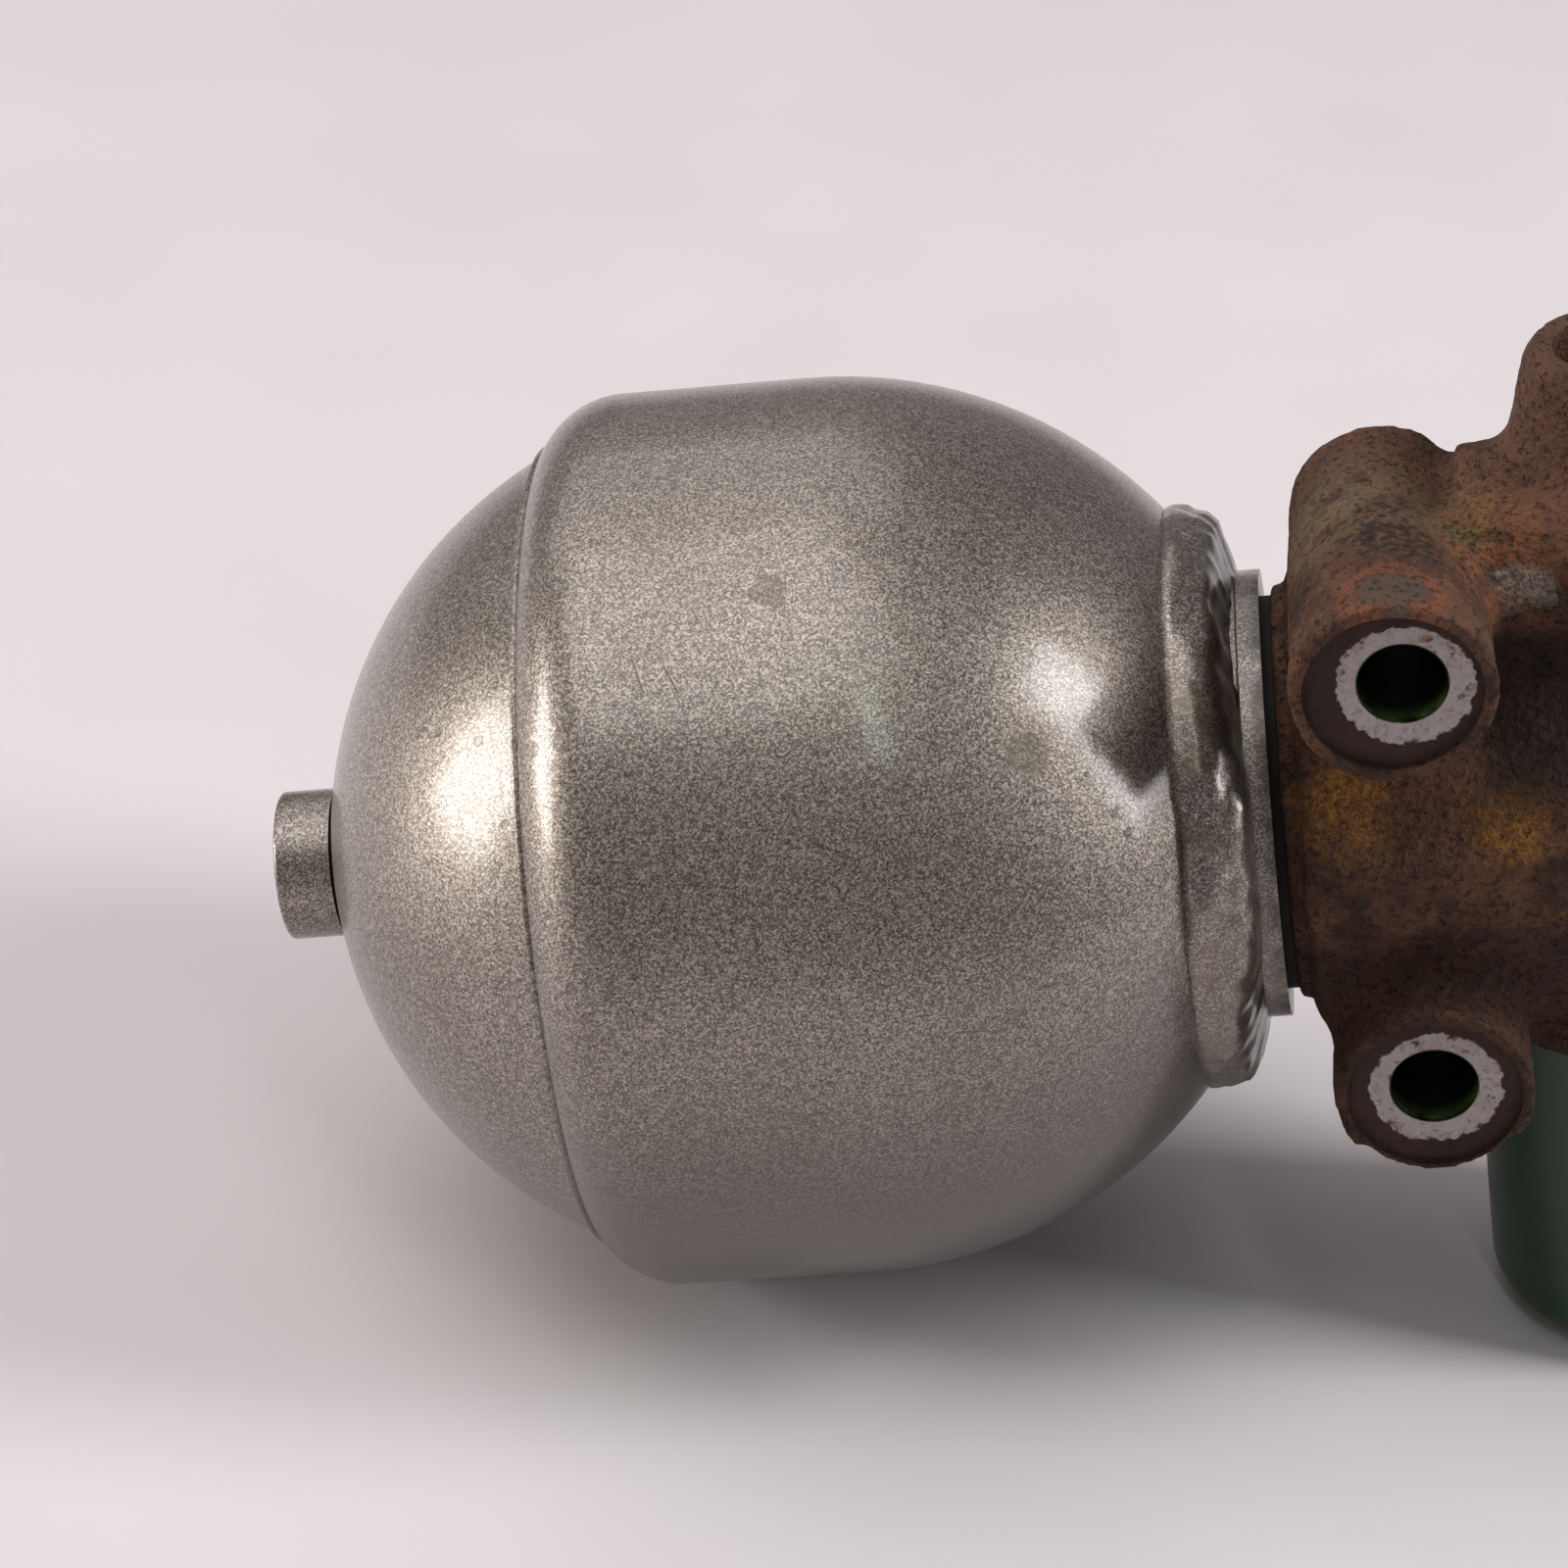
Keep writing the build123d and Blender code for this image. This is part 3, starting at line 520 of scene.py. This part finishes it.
weld_paint, shader, place, colour, rough, height = silver_paint("silver_on_weld", 0.6, 0.5)
crater = spots(place, [(Vector((-0.0255, -0.0397, 0.0105)), 0.0012)], 0.6)
colour = blended(place, colour, (0.16, 0.125, 0.09), place.cloud(0.005, 3.0).between(0.45, 0.65) * 0.5)
# Painted shade: the bead is darkened near the ledge on its upper side, where the groove lies in shade.
painted_groove_shade = place.part("X").between(-0.0240, -0.0215) * place.part("Z").between(0.004, 0.012)
colour = blended(place, colour, (0.040, 0.030, 0.022), painted_groove_shade * 0.75)
colour = blended(place, colour, (0.05, 0.04, 0.03), crater * 0.6)
feed(shader, Base_Color=colour, Metallic=0.88, Roughness=rough - 0.06,
     Normal=relief(height + place.cloud(0.0022, 3.0) * 1.5 - crater * 2.0, 0.00012))
weld.data.materials.append(weld_paint)


# Valve block: sand-cast iron. Its skin is coarse and pitted, the bolt seats, the turret's top
# and the ports are cut clean through it, and rust of several colours has grown over the rest.
grain = 0.00066
bolt_bosses = [(Vector((-0.0012, 0, 0.0291)), 0.030), (Vector((0.0, 0, -0.0309)), -0.030)]
boss_front_y = -0.045
seat_depth = 0.0012
seat_r = 0.011
bolt_r = 0.0055
turret_centre = Vector((0.028, -0.008, 0.054))
port_r = 0.007
port_depth = 0.014
gallery_end = Vector((0.049, -0.0134, 0.0291))
outlet_r = 0.005
outlet_depth = 0.012


def round_bar(place, radius, length, direction, sides=96):
    """A round bar that starts at a place and runs along a direction."""
    bpy.ops.mesh.primitive_cylinder_add(
        vertices=sides, radius=radius, depth=length, location=place + direction * length / 2,
        rotation=direction.to_track_quat("Z", "Y").to_euler())
    bpy.ops.object.transform_apply(location=True, rotation=True, scale=True)
    return bpy.context.object


block = nodes["valve_block"].copy()
block.data = nodes["valve_block"].data.copy()
bpy.context.scene.collection.objects.link(block)
block.name = "cast_block"
block.parent = None
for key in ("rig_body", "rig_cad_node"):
    del block[key]
block.data.materials.clear()
fillers = [
    round_bar(Vector((place.x, boss_front_y + 0.0001, place.z)), seat_r + 0.0006, 0.0030, Vector((0, 1, 0)))
    for place, _ in bolt_bosses
]
fillers += [
    round_bar(Vector((0, boss_front_y + 0.001, z)), bolt_r + 0.0004, -boss_front_y - 0.0012, Vector((0, 1, 0)))
    for _, z in bolt_bosses
]
fillers.append(round_bar(turret_centre - Vector((0, 0, 0.0002)), port_r + 0.0004, port_depth - 0.001, Vector((0, 0, -1))))
fillers.append(round_bar(gallery_end - Vector((0.0002, 0, 0)), outlet_r + 0.0004, outlet_depth - 0.001, Vector((-1, 0, 0))))
bpy.ops.object.select_all(action="DESELECT")
for piece in (*fillers, block):
    piece.select_set(True)
bpy.context.view_layer.objects.active = block
bpy.ops.object.join()
bpy.ops.object.mode_set(mode="EDIT")
bpy.ops.mesh.select_all(action="SELECT")
bpy.ops.mesh.remove_doubles(threshold=0.000005)
bpy.ops.object.mode_set(mode="OBJECT")
remesh = block.modifiers.new("sand", "REMESH")
remesh.mode = "VOXEL"
remesh.voxel_size = grain
bpy.ops.object.modifier_apply(modifier=remesh.name)
soften = block.modifiers.new("soften", "SMOOTH")
soften.factor = 0.6
soften.iterations = 5
bpy.ops.object.modifier_apply(modifier=soften.name)

# Hollow corners fill with metal as the iron is poured, so only those are smoothed further. The
# turret draws in towards its top.
count = len(block.data.vertices)
spots_at = np.empty(count * 3)
block.data.vertices.foreach_get("co", spots_at)
spots_at = spots_at.reshape(-1, 3)
facing = np.empty(count * 3)
block.data.vertices.foreach_get("normal", facing)
facing = facing.reshape(-1, 3)
off_turret = np.hypot(spots_at[:, 0] - turret_centre.x, spots_at[:, 1] - turret_centre.y)
off_axis = np.hypot(spots_at[:, 1] - shell_centre.y, spots_at[:, 2] - shell_centre.z)
pairs = np.empty(len(block.data.edges) * 2, dtype=np.int64)
block.data.edges.foreach_get("vertices", pairs)
pairs = pairs.reshape(-1, 2)
neighbours = np.bincount(pairs.ravel(), minlength=count)[:, None]


def average_of_neighbours(values):
    """For each point of the block's mesh, the mean of a value over the points next to it."""
    total = np.zeros_like(values)
    np.add.at(total, pairs[:, 0], values[pairs[:, 1]])
    np.add.at(total, pairs[:, 1], values[pairs[:, 0]])
    return total / neighbours


machined = (spots_at[:, 0] < -0.0133) & (off_axis < 0.0272)
machined |= (off_axis < 0.0190) & (spots_at[:, 0] < -0.0080)
machined |= (off_turret < 0.0140) & (spots_at[:, 2] < 0.0080)
machined |= (off_turret < 0.0060) | (spots_at[:, 2] < -0.0372)
hollow = ((average_of_neighbours(spots_at) - spots_at) * facing).sum(axis=1, keepdims=True)
hollow = np.clip(hollow / 0.00004, 0, 1)
for _ in range(12):
    hollow = np.maximum(hollow, average_of_neighbours(hollow) * 1.04)
hollow = np.clip(hollow, 0, 1) * ~machined[:, None]
for _ in range(45):
    spots_at += (average_of_neighbours(spots_at) - spots_at) * hollow * 0.8
draw_in = np.clip((spots_at[:, 2] - 0.0435) / 0.0105, 0, 1) * 0.0021
draw_in *= np.clip((off_turret - 0.0085) / 0.0040, 0, 1) * (off_turret < 0.0150)
away = (spots_at[:, :2] - np.array(turret_centre[:2])) / np.maximum(off_turret, 0.001)[:, None]
spots_at[:, :2] -= away * draw_in[:, None]

# The skin: coarse lumps and fine pits, kept off the bores and the faces that seal.
cast = np.ones(count)
cast[machined] = 0
pad = (spots_at[:, 1] < -0.0390) & (np.abs(spots_at[:, 2] + 0.0045) < 0.0050)
cast[pad] *= 0.45
push = np.zeros(count)
for i in np.nonzero(cast)[0]:
    spot = Vector(spots_at[i])
    lumps = noise.noise(spot * 95) * 0.00034 + noise.noise(spot * 260 + Vector((5, 1, 2))) * 0.00020
    fine = noise.noise(spot * 720 + Vector((1, 7, 3)))
    push[i] = lumps + fine * 0.00011 - max(0.0, fine - 0.38) * 0.0007
spots_at += facing * (push * cast)[:, None]
block.data.vertices.foreach_set("co", spots_at.ravel())
block.data.update()

cutters = []
for place, z in bolt_bosses:
    cutters.append(round_bar(Vector((place.x, boss_front_y - 0.002, place.z)), seat_r, 0.002 + seat_depth, Vector((0, 1, 0)), 160))
    cutters.append(round_bar(Vector((0, boss_front_y - 0.004, z)), bolt_r, 0.052, Vector((0, 1, 0)), 128))
cutters.append(round_bar(turret_centre + Vector((0, 0, 0.002)), port_r, port_depth + 0.002, Vector((0, 0, -1)), 128))
cutters.append(round_bar(gallery_end + Vector((0.002, 0, 0)), outlet_r, outlet_depth + 0.002, Vector((-1, 0, 0)), 128))
for cutter in cutters:
    cut = block.modifiers.new("cut", "BOOLEAN")
    cut.operation = "DIFFERENCE"
    cut.object = cutter
    cut.solver = "EXACT"
    bpy.context.view_layer.objects.active = block
    bpy.ops.object.modifier_apply(modifier=cut.name)
    bpy.data.objects.remove(cutter)
bpy.ops.object.select_all(action="DESELECT")
block.select_set(True)
bpy.context.view_layer.objects.active = block
bpy.ops.object.shade_smooth_by_angle(angle=radians(42))
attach(block, "housing")
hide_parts("valve_block")

rusty_iron, shader, place = start_finish("rusted_casting")
x, y, z = place.part("X"), place.part("Y"), place.part("Z")
blotch = place.cloud(0.009, 4.0, 0.62)
patch = place.cloud(0.0035, 4.0, 0.62)
scale = place.cloud(0.0011, 3.0, 0.6)
crumb = place.cloud(0.00055, 3.0, 0.65)
pit = place.cloud(0.0010, 3.0, 0.6)
speckle = (scale * 0.5 + crumb * 0.5).between(0.40, 0.62)
colour = blended(place, (0.038, 0.019, 0.012), (0.112, 0.052, 0.030), blotch.between(0.32, 0.66))
colour = blended(place, colour, (0.20, 0.082, 0.036), patch.between(0.52, 0.72) * speckle * 0.8)
colour = blended(place, colour, (0.016, 0.010, 0.008), scale.between(0.50, 0.72) * 0.85)
knob = (place.off((-0.0065, -0.018, 0.0385)) + (patch - 0.5) * 0.016).between(0.015, 0.005)
colour = blended(place, colour, (0.150, 0.125, 0.070), knob * patch.between(0.34, 0.58) * (0.40 + 0.5 * speckle))
# Partly painted light: the upper part is lightened with a reddish rust tone, more so towards the top.
rust_and_painted_top_light = z.between(0.0340, 0.0430) * (0.35 + 0.4 * speckle)
colour = blended(place, colour, (0.165, 0.080, 0.055), rust_and_painted_top_light * 0.6)
pitted_zone = (place.off((0.0015, -0.026, 0.0400)) + (patch - 0.5) * 0.010).between(0.012, 0.004)
colour = blended(place, colour, (0.020, 0.015, 0.012), pitted_zone * scale.between(0.38, 0.58) * 0.9)
orange = (place.off((0.0115, -0.0245, 0.0350)) + (patch - 0.5) * 0.014).between(0.013, 0.004)
colour = blended(place, colour, (0.25, 0.090, 0.036), orange * patch.between(0.38, 0.62) * (0.3 + 0.6 * speckle))
olive = (place.off((0.0085, -0.0215, 0.0400)) + (patch - 0.5) * 0.010).between(0.008, 0.002)
colour = blended(place, colour, (0.17, 0.125, 0.045), olive * speckle * 0.6)
white = (place.off((0.0155, -0.0266, 0.0318)) + (patch - 0.5) * 0.008).between(0.0045, 0.0010)
colour = blended(place, colour, (0.30, 0.26, 0.22), white * (0.25 + 0.6 * speckle))
yellow = (place.off((-0.0080, -0.0340, 0.0072)) + (patch - 0.5) * 0.016).between(0.0090, 0.0020)
yellow = yellow.most((place.off((0.0120, -0.0370, 0.0035)) + (patch - 0.5) * 0.012).between(0.0070, 0.0015))
colour = blended(place, colour, (0.28, 0.118, 0.020), yellow * (0.20 + 0.65 * speckle))
# Painted shade: the casting is darkened towards its bottom.
painted_lower_shade = z.between(-0.0080, -0.0180) * 0.55
colour = blended(place, colour, (0.030, 0.013, 0.008), painted_lower_shade)
# Painted shadow: the body right of the upper boss is darkened where the boss shades it.
painted_boss_shadow = x.between(0.0065, 0.0120) * z.between(0.0270, 0.0220) * z.between(0.0020, 0.0090)
colour = blended(place, colour, (0.012, 0.008, 0.006), painted_boss_shadow * 0.75)
arch = (place.off((-0.0005, -0.0410, 0.0408)) + (patch - 0.5) * 0.004)
colour = blended(place, colour, (0.21, 0.070, 0.032), (arch.between(0.0074, 0.0060) - arch.between(0.0050, 0.0042)) * (0.2 + 0.5 * speckle))
colour = blended(place, colour, (0.085, 0.064, 0.050), arch.between(0.0044, 0.0034) * 0.65)

# The bolt seats: dark and greasy, with the bright ring that the bolt's washer has worn.
worn = None
seat_mask = None
bore_mask = None
for boss, bolt_z in bolt_bosses:
    flat = place.node("CombineXYZ", {}, {"X": x, "Z": z})
    off_bolt = flat.off((0.0003, 0, bolt_z - 0.0003))
    nibble = (place.cloud(0.0016, 3.0, 0.6) - 0.5) * 0.0022
    ring = (off_bolt + nibble).between(0.0084, 0.0081) * y.between(-0.0432, -0.0436)
    ring = ring * (1 - place.cloud(0.0022, 4.0, 0.65).between(0.56, 0.66) * 0.85)
    seat = flat.off((boss.x, 0, boss.z)).between(0.0112, 0.0109) * y.between(-0.0430, -0.0434)
    seat = seat * y.between(-0.0442, -0.0439)
    bore = flat.off((0, 0, bolt_z)).between(0.0057, 0.00555) * y.between(-0.0442, -0.0439)
    worn = ring if worn is None else worn.most(ring)
    seat_mask = seat if seat_mask is None else seat_mask.most(seat)
    bore_mask = bore if bore_mask is None else bore_mask.most(bore)
ring_mark = seat_mask * worn
# The bores: green paint near their mouths, and painted shade darkening them further in.
green_bore_and_painted_depth_shade = blended(place, (0.006, 0.007, 0.004), (0.040, 0.075, 0.018), y.between(-0.0400, -0.0436) * patch.between(0.35, 0.60))
colour = blended(place, colour, blended(place, (0.014, 0.007, 0.006), (0.060, 0.029, 0.020), patch), seat_mask)
bright = blended(place, (0.24, 0.20, 0.20), (0.42, 0.365, 0.365), scale)
bright = blended(place, bright, (0.19, 0.085, 0.030), patch.between(0.50, 0.66) * speckle * 0.8)
colour = blended(place, colour, bright, ring_mark)
colour = blended(place, colour, green_bore_and_painted_depth_shade, bore_mask)
skin_height = patch * 0.9 + scale * 1.4 - pit.between(0.56, 0.74) * 1.4
skin_height = skin_height * (1 - seat_mask * 0.85) * (1 - bore_mask * 0.9)
feed(shader, Base_Color=colour, Metallic=ring_mark * 0.35,
     Roughness=0.80 - ring_mark * 0.42 - seat_mask * 0.12 - bore_mask * 0.3,
     Specular_IOR_Level=0.22, Normal=relief(skin_height, 0.00060))
block.data.materials.append(rusty_iron)


# Can: a drawn steel cup over the shut-off valve's spring, in thick dark green paint that is
# chipped to rust at its rim and along its floor.
green_paint, shader, place = start_finish("green_enamel")
chipped = place.cloud(0.0028, 4.0, 0.6).between(0.68, 0.72)
dusty = place.cloud(0.012, 4.0, 0.6).between(0.45, 0.75)
colour = blended(place, (0.004, 0.022, 0.008), (0.012, 0.046, 0.016), place.cloud(0.02, 2.0))
colour = blended(place, colour, (0.060, 0.065, 0.045), dusty * 0.25)
colour = blended(place, colour, (0.10, 0.04, 0.02), chipped)
feed(shader, Base_Color=colour, Roughness=0.30 + 0.2 * dusty + 0.3 * chipped,
     Normal=relief(place.cloud(0.002, 2.0) * 0.4 - chipped * 0.8, 0.00008))
for slot in nodes["valve_canister"].material_slots:
    slot.material = green_paint
